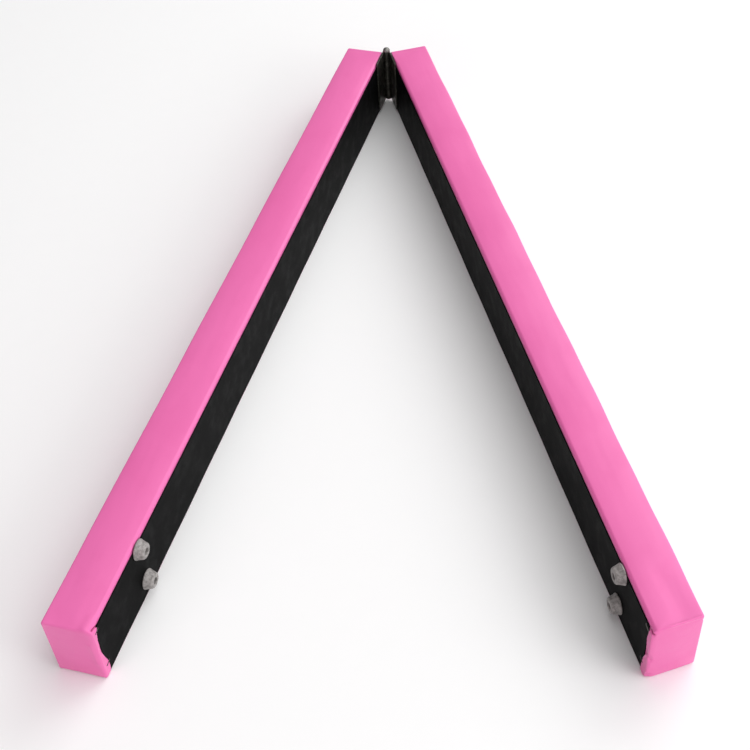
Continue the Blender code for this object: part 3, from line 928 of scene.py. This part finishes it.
# %% [markdown]
# ### Using the tree
#
# The spots are a mesh of loose points, each with the direction that its copy faces.
# The tree's inputs are found by name once and set by identifier before anything is
# worked out. The result is turned into one plain mesh for the half, and the spots
# and the template are thrown away.

# %% Setting out copies
def worked_out(thing):
    """The plain mesh that an object's modifiers make of it."""
    return bpy.data.meshes.new_from_object(thing.evaluated_get(bpy.context.evaluated_depsgraph_get()))


def set_out(name, template_mesh, spots, half, finish, nodes, turn=0.0, seed=1):
    """One piece with a copy of a template at each (s, n, z) spot, facing away from the half."""
    matrix = half_matrix(half)
    facing = matrix.to_3x3() @ Vector((0.0, -1.0, 0.0))
    dots = bpy.data.meshes.new("spots")
    dots.from_pydata([matrix @ Vector(spot) for spot in spots], [], [])
    store = dots.attributes.new("facing", "FLOAT_VECTOR", "POINT")
    store.data.foreach_set("vector", [value for _ in spots for value in facing])
    carrier = placed("spots", dots)
    template = placed("template", template_mesh)
    modifier = carrier.modifiers.new("copies", "NODES")
    modifier.node_group = COPIES
    wanted = {"Template": template, "Random turn": turn, "Seed": seed, "Finish": finish}
    for socket in COPIES.interface.items_tree:
        if socket.in_out == "INPUT" and socket.name in wanted:
            modifier[socket.identifier] = wanted[socket.name]
    mesh = worked_out(carrier)
    mesh.name = name
    for item in (carrier, template):
        bpy.data.objects.remove(item)
    return finish_piece(name, mesh, half, finish, nodes)


def middle_of(node):
    """The (s, z) of the middle of one of the frame's solids."""
    low, high = extent(node)
    return (low[0] + high[0]) / 2, (low[2] + high[2]) / 2


def spots_of(nodes, end):
    """The (s, n, z) of each node's axis, at its lower (0) or upper (1) end through the depth."""
    places = [middle_of(node) for node in nodes]
    return [(s, float(extent(node)[end][1]), z) for node, (s, z) in zip(nodes, places)]


print("a lower foot stands at", np.round(middle_of("left_lower_foot"), 4))

# %% [markdown]
# ## Feet
#
# A foot is a short cone of rubber with a well for its screw. The mould leaves a
# rounded rim, a small step where the foot meets the sheet and a soft lip round the
# well.

# %% Feet
foot_low, foot_high = extent("left_lower_foot")
FOOT_HEIGHT = float(foot_high[1] - foot_low[1])
FOOT_RADIUS = float(foot_high[2] - foot_low[2]) / 2
FOOT_TIP = FOOT_RADIUS * 0.79
WELL = 0.0045
WELL_FLOOR = 0.005
SCREW_HOLE = 0.0023


def foot_template():
    """A foot with its base at zero and its tip up."""
    rim, lip, edge = 0.0032, 0.0008, 0.0006
    profile = [(SCREW_HOLE, 0.0), (FOOT_RADIUS - edge, 0.0), (FOOT_RADIUS, edge), (FOOT_RADIUS, 0.0016)]
    profile.append((FOOT_RADIUS - edge, 0.0022))
    profile += arc((FOOT_TIP - rim, FOOT_HEIGHT - rim), rim, 12, 90, 7)
    profile += arc((WELL + lip, FOOT_HEIGHT - lip), lip, 90, 180, 5)
    profile += [(WELL, WELL_FLOOR + edge), (WELL - edge, WELL_FLOOR), (SCREW_HOLE, WELL_FLOOR)]
    return turned_mesh("foot", profile, 64, closed=True)


for half in HALVES:
    nodes = [f"{half}_lower_foot", f"{half}_upper_foot"]
    set_out(f"{half}_rubber_feet", foot_template(), spots_of(nodes, 1), half, rubber, nodes)

# %% [markdown]
# ## Cutting a socket
#
# The cross in a screw's head is cut with a Boolean, which is the plainest way to
# make a socket with square corners. Its arms taper towards the bottom, as a
# driver's tip does.

# %% Cutting
def carved(mesh, cutter_bm):
    """A mesh with a set of separate cutters taken out of it."""
    body = placed("body", mesh)
    cutter = placed("cutter", outward_mesh(cutter_bm, "cutter"))
    cut = body.modifiers.new("cut", "BOOLEAN")
    cut.operation = "DIFFERENCE"
    cut.solver = "EXACT"
    cut.object = cutter
    result = worked_out(body)
    for item in (body, cutter):
        bpy.data.objects.remove(item)
    return smoothed(result)


def cross_cutter(face, length, width, depth):
    """A cutter for a cross-shaped socket whose arms taper towards the bottom."""
    bm = bmesh.new()
    long, narrow = length / 2, width / 2
    quarter = [Vector((long, narrow)), Vector((narrow, narrow)), Vector((narrow, long))]
    outline = [Matrix.Rotation(k * math.pi / 2, 2) @ corner for k in range(4) for corner in quarter]
    rings = []
    for height, scale in ((face - depth, 0.55), (face + depth, 1.35)):
        rings.append([bm.verts.new((scale * c.x, scale * c.y, height)) for c in outline])
    bm.faces.new(rings[0])
    bm.faces.new(rings[1])
    for k in range(len(outline)):
        j = (k + 1) % len(outline)
        bm.faces.new((rings[0][k], rings[0][j], rings[1][j], rings[1][k]))
    return bm


print("socket outline has", len(cross_cutter(0, 0.004, 0.001, 0.001).verts) // 2, "corners")

# %% [markdown]
# ## Screws and washers
#
# Only the heads show, but a screw is made whole. The leaf screws are countersunk
# and the foot screws have a pan head on a washer. Their lengths and widths are
# taken from the frame's own screws.

# %% Screws and washers
screw_low, screw_high = extent("left_leaf_screw_1")
LEAF_SCREW_LENGTH = float(screw_high[1] - screw_low[1])
LEAF_HEAD = float(screw_high[2] - screw_low[2]) / 2
pan_low, pan_high = extent("left_lower_foot_screw")
PAN_SCREW_LENGTH = float(pan_high[1] - pan_low[1])
PAN_HEAD = float(pan_high[2] - pan_low[2]) / 2
PAN_HEIGHT = 0.0024
SHANK = 0.0019
WASHER_RADIUS = 0.0042
WASHER_HEIGHT = 0.001
ANY_TURN = 1.57  # up to a quarter turn, after which a cross looks the same again


def leaf_screw_template():
    """A countersunk screw with its face at zero and its shank below."""
    profile = [(0.0, -LEAF_SCREW_LENGTH), (SHANK, 0.004 - LEAF_SCREW_LENGTH), (SHANK, -0.0021),
               (LEAF_HEAD, -0.0002), (LEAF_HEAD - 0.0001, 0.0), (0.0, 0.0001)]
    screw = turned_mesh("leaf screw", profile, 32)
    return carved(screw, cross_cutter(0.0, 0.0046, 0.0011, 0.0013))


def pan_screw_template():
    """A pan-head screw with the top of its head at zero."""
    profile = [(0.0, -PAN_SCREW_LENGTH), (SHANK, 0.004 - PAN_SCREW_LENGTH), (SHANK, -PAN_HEIGHT),
               (PAN_HEAD, -PAN_HEIGHT), (PAN_HEAD, -PAN_HEIGHT * 0.55)]
    profile += arc((PAN_HEAD - 0.0010, -0.0011), 0.0010, 20, 75, 4)
    profile += [(0.0, 0.0)]
    screw = turned_mesh("pan screw", profile, 32)
    return carved(screw, cross_cutter(0.0, 0.0042, 0.0010, 0.0012))


def washer_template():
    """A washer with its lower face at zero."""
    edge, rise = WASHER_RADIUS - 0.0001, 0.0002
    profile = [(SCREW_HOLE, 0.0), (edge, 0.0), (WASHER_RADIUS, rise), (WASHER_RADIUS, WASHER_HEIGHT - rise)]
    profile += [(edge, WASHER_HEIGHT), (SCREW_HOLE, WASHER_HEIGHT)]
    return turned_mesh("washer", profile, 32, closed=True)


for half in HALVES:
    leaf_nodes = [f"{half}_leaf_screw_{number}" for number in range(1, 5)]
    set_out(f"{half}_leaf_screws", leaf_screw_template(), spots_of(leaf_nodes, 0), half, hinge_steel,
            leaf_nodes, turn=ANY_TURN, seed=3)
    pan_nodes = [f"{half}_{end}_foot_screw" for end in ("lower", "upper")]
    set_out(f"{half}_foot_screws", pan_screw_template(), spots_of(pan_nodes, 0), half, zinc,
            pan_nodes, turn=ANY_TURN, seed=5)
    washers = [f"{half}_{end}_foot_washer" for end in ("lower", "upper")]
    set_out(f"{half}_washers", washer_template(), spots_of(washers, 1), half, zinc, washers)

# %% [markdown]
# ## Staples
#
# A staple is a flat wire bent twice. It is pressed into the flap near its hem, so
# only the crown shows. The bends are rounded by carrying a square section along a
# path with rounded corners.

# %% Staples
def staple_template(crown=0.010, leg=0.009, wire=0.0007, breadth=0.0011):
    """A staple whose crown's top is at zero, with its legs down."""
    bend = 0.0012
    reach = crown / 2 - wire / 2
    path = [(-reach, -leg)]
    path += arc((bend - reach, -bend), bend, 180, 90, 4)
    path += arc((reach - bend, -bend), bend, 90, 0, 4)
    path.append((reach, -leg))
    bm = bmesh.new()
    rings = []
    for k, (x, y) in enumerate(path):
        before, after = path[max(k - 1, 0)], path[min(k + 1, len(path) - 1)]
        run = Vector((after[0] - before[0], after[1] - before[1])).normalized()
        out = Vector((-run.y, run.x)) * wire / 2
        ring = []
        for side, edge in ((1, -1), (1, 1), (-1, 1), (-1, -1)):
            ring.append(bm.verts.new((edge * breadth / 2, x + side * out.x, y - wire / 2 + side * out.y)))
        rings.append(ring)
    for a, b in zip(rings, rings[1:]):
        for k in range(4):
            bm.faces.new((a[k], a[(k + 1) % 4], b[(k + 1) % 4], b[k]))
    bm.faces.new(rings[0])
    bm.faces.new(rings[-1])
    return outward_mesh(bm, "staple")


for half in HALVES:
    nodes = [f"{half}_lower_staple", f"{half}_upper_staple"]
    spots = [(middle_of(node)[0], float(skin_low[1]) - 0.0004, middle_of(node)[1]) for node in nodes]
    set_out(f"{half}_staples", staple_template(), spots, half, dull_zinc, nodes)

# %% [markdown]
# ## The hinge
#
# A leaf is one plate whose edge is rolled round the pin. The outline of plate and
# roll is drawn once and extruded over the hinge's whole height, which keeps the
# plate and its knuckles one body, as they are in steel.

# %% Leaves
leaf_low, leaf_high = extent("left_hinge_leaf")
BARREL = float(leaf_high[1])
LEAF_REACH = float(leaf_high[0])
HINGE_FOOT = float(leaf_low[2])
HINGE_HEAD = float(leaf_high[2])
PLATE = 0.0025
LEAF_CORNER = 0.003
ROLL_STEPS = 44


def rolled_outline():
    """The (s, n) outline of the plate and its roll."""
    inner = BARREL - PLATE
    start = math.asin(inner / BARREL)
    sweep = math.pi * 1.5 + start
    turns = [start - sweep * k / ROLL_STEPS for k in range(ROLL_STEPS + 1)]
    roll = [(BARREL * math.cos(t), BARREL * math.sin(t)) for t in turns]
    return [(LEAF_REACH, BARREL), (LEAF_REACH, inner)] + roll


def leaf_blank():
    """The uncut leaf in (s, n, z), with its outer corners rounded."""
    bm = bmesh.new()
    lower = [bm.verts.new((s, n, HINGE_FOOT)) for s, n in rolled_outline()]
    raised = bmesh.ops.extrude_face_region(bm, geom=[bm.faces.new(lower)])["geom"]
    up = Vector((0, 0, HINGE_HEAD - HINGE_FOOT))
    bmesh.ops.translate(bm, verts=[v for v in raised if isinstance(v, bmesh.types.BMVert)], vec=up)
    corners = [e for e in bm.edges if min(v.co.x for v in e.verts) > LEAF_REACH - 1e-4
               and abs(e.verts[0].co.z - e.verts[1].co.z) < 1e-4]
    bmesh.ops.bevel(
        bm, geom=corners, offset=LEAF_CORNER, offset_type="OFFSET", segments=6, profile=0.5, affect="EDGES"
    )
    return outward_mesh(bm, "leaf")


def box_into(bm, low, high):
    """Adds a box between two corners."""
    size, middle = Vector(high) - Vector(low), (Vector(high) + Vector(low)) / 2
    bmesh.ops.create_cube(bm, size=1.0, matrix=Matrix.Translation(middle) @ Matrix.Diagonal((*size, 1.0)))


def turned_into(bm, place, profile, steps=32):
    """Adds a cutter turned about n, from (radius, n) points at a place (s, z)."""
    s, z = place
    outline = [(0.0, profile[0][1]), *profile, (0.0, profile[-1][1])]
    corners = [bm.verts.new((s + radius, n, z)) for radius, n in outline]
    edges = [bm.edges.new(pair) for pair in zip(corners, corners[1:])]
    bmesh.ops.spin(
        bm, geom=corners + edges, cent=(s, 0, z), axis=(0, 1, 0), angle=math.tau, steps=steps, use_merge=True
    )
    bmesh.ops.remove_doubles(bm, verts=bm.verts, dist=1e-6)


print("leaf plate reaches", round(1000 * LEAF_REACH, 1), "mm from the pin")

# %% [markdown]
# ### Cutting the leaves
#
# The blank is cut away where the other leaf's knuckles go. Booleans cut those gaps,
# the bore and the countersinks, and a bevel breaks the edges as stamping does. The
# right leaf has two knuckles and the left one three.

# %% Cutting the leaves
KNUCKLES = 5
KNUCKLE_GAP = 0.0004
BROKEN_EDGE = 0.0006


def leaf_mesh(half):
    """The cut and bevelled leaf of a half, in (s, n, z)."""
    cutters = bmesh.new()
    pitch = (HINGE_HEAD - HINGE_FOOT) / KNUCKLES
    first_gap = 1 if half == "left" else 0
    reach = BARREL + 0.0005
    for knuckle in range(first_gap, KNUCKLES, 2):
        low = HINGE_FOOT + knuckle * pitch - KNUCKLE_GAP / 2
        box_into(cutters, (-reach, -reach, low), (reach, reach, low + pitch + KNUCKLE_GAP))
    inner, sink, throat = BARREL - PLATE, LEAF_HEAD + 0.0004, 0.0024
    profile = [(sink, inner - 0.004), (sink, inner), (throat, inner + 0.002), (throat, BARREL + 0.004)]
    for number in range(1, 5):
        turned_into(cutters, middle_of(f"{half}_leaf_screw_{number}"), profile)
    bore = bmesh.new()
    height = HINGE_HEAD - HINGE_FOOT
    place = Matrix.Translation((0, 0, HINGE_FOOT + height / 2))
    bmesh.ops.create_cone(
        bore, cap_ends=True, segments=ROLL_STEPS, radius1=inner, radius2=inner,
        depth=height + 0.01, matrix=place
    )
    return carved(carved(leaf_blank(), cutters), bore)


def bevelled(mesh, width):
    """A mesh with its sharp edges broken."""
    body = placed("body", mesh)
    bevel = body.modifiers.new("bevel", "BEVEL")
    bevel.width = width
    bevel.segments = 2
    bevel.limit_method = "ANGLE"
    bevel.angle_limit = math.radians(40)
    bevel.harden_normals = False
    result = worked_out(body)
    bpy.data.objects.remove(body)
    return result


for half in HALVES:
    mesh = bevelled(leaf_mesh(half), BROKEN_EDGE)
    mesh.transform(half_matrix(half))
    if HALVES[half] < 0:  # the left half's frame is a mirror image, which turns a shape inside out
        mesh.flip_normals()
    finish_piece(f"{half}_steel_leaf", smoothed(mesh), half, hinge_steel, [f"{half}_hinge_leaf"])

# %% [markdown]
# ### The pin
#
# The pin is a plain rod with a domed button head that sits on the top knuckle.

# %% Pin
pin_low, pin_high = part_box("hinge_pin")
HEAD_RADIUS = (pin_high.x - pin_low.x) / 2
ROD = 0.0032


def pin_mesh():
    """The pin about its own axis, from its lower tip to the crown of its head."""
    seat = HINGE_HEAD + 0.0002
    rise = pin_high.z - seat
    profile = [(0.0, pin_low.z), (ROD - 0.0006, pin_low.z), (ROD, pin_low.z + 0.0006)]
    profile += [(ROD, seat), (HEAD_RADIUS, seat)]
    for turn in np.radians(np.linspace(0, 80, 9)):
        profile.append((HEAD_RADIUS * math.cos(turn), seat + rise * (0.15 + 0.85 * math.sin(turn))))
    profile.append((0.0, pin_high.z))
    return turned_mesh("pin", profile, 48)


pin = pin_mesh()
pin.transform(Matrix.Translation(PIN))
finish_piece("steel_pin", pin, "left", pin_steel, ["hinge_pin"])

# %% [markdown]
# ## What the cover hides
#
# The core keeps the frame's own shape. The foams are cut a little softer than their
# bare outlines, because foam under tight vinyl gives way most at its corners. If
# they kept sharp corners they would come through the cover's round edges.

# %% Hidden pieces
FOAMS = ("top_foam", "lower_side_foam", "upper_side_foam", "hinge_end_foam", "far_end_foam")
FOAM_GIVE = 0.0022


def soft_slab(low, high):
    """A slab with edges as round as its thickness allows, squeezed in on its broad sides."""
    low, high = low.copy(), high.copy()
    for axis in range(3):
        outer_low, outer_high = cover_low[axis] + 0.003, cover_high[axis] - 0.003
        low[axis] += FOAM_GIVE if low[axis] < outer_low else 0
        high[axis] -= FOAM_GIVE if high[axis] > outer_high else 0
    radius = min(0.008, 0.49 * float(min(high - low)))
    turn = radius * TURN
    stations = []
    for axis in range(3):
        count = 2 + int((high[axis] - low[axis]) / 0.03)
        middle = np.linspace(low[axis] + radius, high[axis] - radius, count)
        stations.append(np.concatenate((low[axis] + turn, middle, (high[axis] - turn)[::-1])))
    points, faces = boxed_surface(*stations)
    return rounded(points, low, high, radius), faces


for half in HALVES:
    core = frame["nodes"][f"{half}_wood_core"]
    core.data.materials.clear()
    core.data.materials.append(pine)
    for name in FOAMS:
        points, faces = soft_slab(*extent(f"{half}_{name}"))
        mesh = mesh_in_room(f"{half}_soft_{name}", half, points, faces)
        finish_piece(f"{half}_soft_{name}", mesh, half, foam, [f"{half}_{name}"])

# %% [markdown]
# ## Floor
#
# The floor is one wide, pale, matt square, so that it takes a soft shadow and gives
# the beam some light back from below. It lies a hair under the beam, which keeps
# the two surfaces from meeting.

# %% Floor
FLOOR_LEVEL = -0.0004
FLOOR_REACH = 9.0


def make_floor():
    finish = Finish("pale_floor")
    speck = finish.noise(finish.place(False), 30.0, detail=4.0)
    colour = finish.mix(speck, (0.95, 0.95, 0.95), (0.965, 0.965, 0.965))
    mesh = bpy.data.meshes.new("floor")
    signs = [(-1, -1), (1, -1), (1, 1), (-1, 1)]
    mesh.from_pydata([(x * FLOOR_REACH, y * FLOOR_REACH, FLOOR_LEVEL) for x, y in signs], [], [(0, 1, 2, 3)])
    mesh.materials.append(finish.done(Base_Color=colour, Roughness=0.9, Specular_IOR_Level=0.1))
    floor = placed("floor", mesh)
    print("floor", 2 * FLOOR_REACH, "m across")


make_floor()

# %% [markdown]
# ## Light
#
# The light is a studio's: a bright wall to the right, a dim one to the left, and
# soft boxes near the right half, overhead, behind and, faintly warm, in front on
# the left. They make the crowned sides glow along one edge and leave the undersides
# dark. The room's own brightness follows direction, which gives that soft slope
# without hard shadows.

# %% Light
def soft_light(name, place, aim, size, power, colour=(1.0, 1.0, 1.0)):
    """A square area light at a place, facing a point."""
    data = bpy.data.lights.new(name, "AREA")
    data.shape = "RECTANGLE"
    data.size, data.size_y = size
    data.energy = power
    data.color = colour
    light = placed(name, data)
    light.location = place
    light.rotation_euler = (Vector(aim) - Vector(place)).to_track_quat("-Z", "Y").to_euler()
    print(f"{name}: {power} W")


def studio_room(toward, dim, bright):
    """A world that grows brighter towards one direction."""
    room = bpy.data.worlds.new("room")
    room.use_nodes = True
    nodes, links = room.node_tree.nodes, room.node_tree.links
    place = nodes.new("ShaderNodeTexCoord")
    dot = nodes.new("ShaderNodeVectorMath")
    dot.operation = "DOT_PRODUCT"
    dot.inputs[1].default_value = Vector(toward).normalized()
    slope = nodes.new("ShaderNodeMapRange")
    slope.interpolation_type = "SMOOTHSTEP"
    for name, value in (("From Min", -0.7), ("From Max", 1.0), ("To Min", dim), ("To Max", bright)):
        slope.inputs[name].default_value = value
    links.new(place.outputs["Generated"], dot.inputs[0])
    links.new(dot.outputs["Value"], slope.inputs["Value"])
    links.new(slope.outputs[0], nodes["Background"].inputs["Strength"])
    nodes["Background"].inputs["Color"].default_value = (1.0, 1.0, 1.0, 1.0)
    return room


room = studio_room((0.88, -0.12, 0.40), 0.04, 1.0)
soft_light("right_softbox", (2.0, -1.35, 1.25), (0.0, -0.2, 0.0), (1.4, 1.0), 15.0)
soft_light("top_softbox", (0.6, 0.3, 3.2), (0.0, 0.0, 0.0), (2.5, 2.5), 20.0)
soft_light("front_softbox", (-1.6, -2.8, 1.1), (-0.3, -0.6, 0.0), (2.0, 1.5), 14.0, (1.0, 0.82, 0.86))
soft_light("back_softbox", (2.2, 2.8, 2.7), (0.0, 0.0, 0.0), (3.2, 2.4), 60.0)
bpy.context.scene.world = room
bpy.context.scene.view_settings.view_transform = "Standard"

# %% [markdown]
# ## Camera
#
# The camera looks down at about 47 degrees from over the open end, with a slight
# tilt, so that the V stands nearly upright in the picture. Its place is given from
# the hinge pin. Three turns set it: down from the horizon, round the pin, and a
# tilt about its own line of sight.

# %% Camera
AZIMUTH = math.radians(-4.47)
DOWN = math.radians(46.74)
TILT = math.radians(-4.26)
FROM_PIN = Vector((0.0921, -1.9619, 1.3768))
eye = bpy.data.cameras.new("camera")
eye.lens = 63.36
eye.sensor_width = 36.0
camera = placed("camera", eye)
lift = Matrix.Rotation(-AZIMUTH, 4, "Z") @ Matrix.Rotation(math.pi / 2 - DOWN, 4, "X")
stand = Matrix.Translation(PIN + FROM_PIN)
camera.matrix_world = stand @ lift @ Matrix.Rotation(TILT, 4, "Z")
bpy.context.scene.camera = camera
print("camera at", [round(v, 3) for v in camera.matrix_world.translation])
